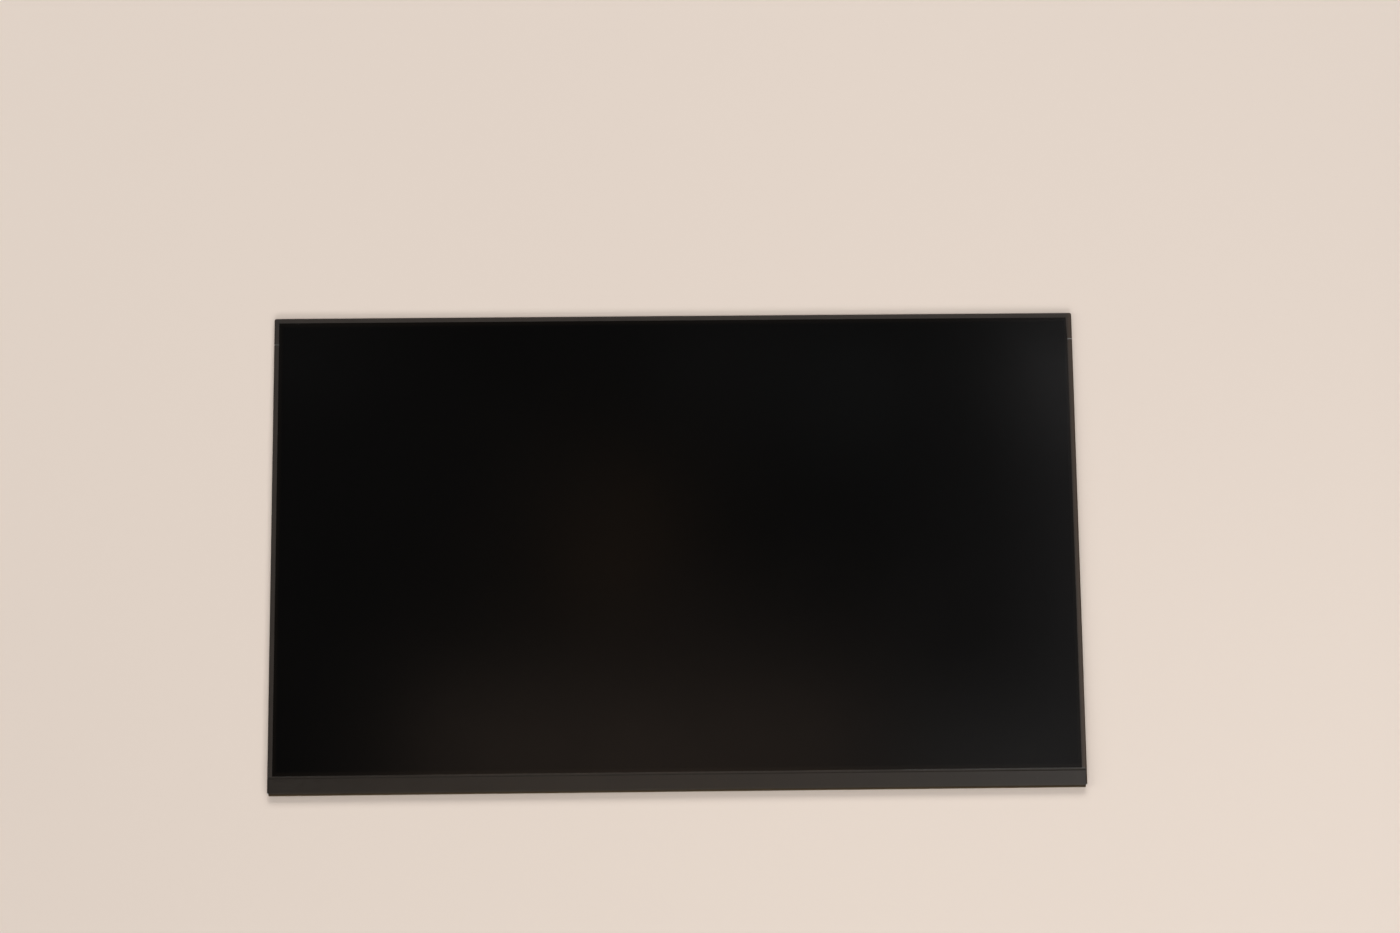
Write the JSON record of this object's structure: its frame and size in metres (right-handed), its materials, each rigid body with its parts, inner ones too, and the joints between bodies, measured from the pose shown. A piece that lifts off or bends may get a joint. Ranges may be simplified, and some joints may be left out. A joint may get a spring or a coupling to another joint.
{
  "type": "laptop screen panel",
  "caption": "Thin flat laptop LCD module lying on its back: near-black matte screen, narrow taped border, deeper strip along the bottom, metal back with a folded-on control board.",
  "frame": {"origin": "on the table, under the middle of the panel's outline as it lies on its back", "axes": "+X to the right of the picture, +Y up the picture, +Z out of the table; the screen faces +Z and leans 0.39 degrees, as it rests on the socket and on the back cover's upper bead"},
  "size_m": [0.3506, 0.207, 0.0039],
  "materials": {
    "screen_face": "anti-glare, near black with the screen off",
    "strip_tape": "matte dark grey-brown tape",
    "border_tape": "matte dark grey-brown tape with a rounded fold",
    "cell_glass": "thin clear display glass",
    "rear_polarizer": "smooth dark film",
    "shield_tape": "black adhesive tape",
    "diffuser_film": "frosted white film",
    "prism_film": "finely ribbed clear film",
    "light_guide": "clear moulded plate with fine dots",
    "reflector": "white film",
    "flex_circuit": "amber flexible circuit",
    "led_body": "white package with a yellow window",
    "frame_plastic": "black moulded plastic",
    "cover_metal": "dull rolled sheet with pressed beads",
    "driver_film": "dark amber film with fine traces",
    "silicon": "bare driver chips",
    "adhesive_pad": "soft double-sided pad",
    "circuit_board": "dark green solder mask with traces and pads",
    "chip_resin": "moulded black resin",
    "ferrite": "dark grey ferrite",
    "capacitor_ceramic": "tan ceramic with tinned ends",
    "resistor_ceramic": "black film with tinned ends",
    "socket_shell": "tinned stamped steel",
    "socket_plastic": "ivory moulded resin",
    "contact_metal": "gold-plated spring contacts",
    "latch_plastic": "black moulded lever",
    "ground_tape": "conductive foil tape"
  },
  "bodies": {
    "root": {"back_cover": "cover_metal", "mould_frame": "frame_plastic", "reflector_sheet": "reflector", "light_guide": "light_guide", "led_strip": "flex_circuit", "led_packages": "led_body", "lower_diffuser": "diffuser_film", "lower_prism_sheet": "prism_film", "upper_prism_sheet": "prism_film", "upper_diffuser": "diffuser_film", "cell_adhesive_frame": "shield_tape", "rear_polarizer": "rear_polarizer", "array_glass": "cell_glass", "color_filter_glass": "cell_glass", "front_polarizer": "screen_face", "driver_chips": "silicon", "ledge_cover_tape": "strip_tape", "top_rim_tape": "border_tape", "left_rim_tape": "border_tape", "right_rim_tape": "border_tape", "board_pad": "adhesive_pad", "control_board": "circuit_board", "timing_controller": "chip_resin", "power_chip": "chip_resin", "backlight_driver_chip": "chip_resin", "gamma_chip": "chip_resin", "memory_chip": "chip_resin", "inductors": "ferrite", "capacitors": "capacitor_ceramic", "resistors": "resistor_ceramic", "display_socket_shell": "socket_shell", "display_socket_body": "socket_plastic", "display_socket_contacts": "contact_metal", "backlight_socket": "socket_plastic", "backlight_socket_latch": "latch_plastic", "driver_film_1": "driver_film", "driver_film_2": "driver_film", "driver_film_3": "driver_film", "driver_film_4": "driver_film", "ground_tape_1": "ground_tape", "ground_tape_2": "ground_tape", "ground_tape_3": "ground_tape"}
  },
  "joints": []
}
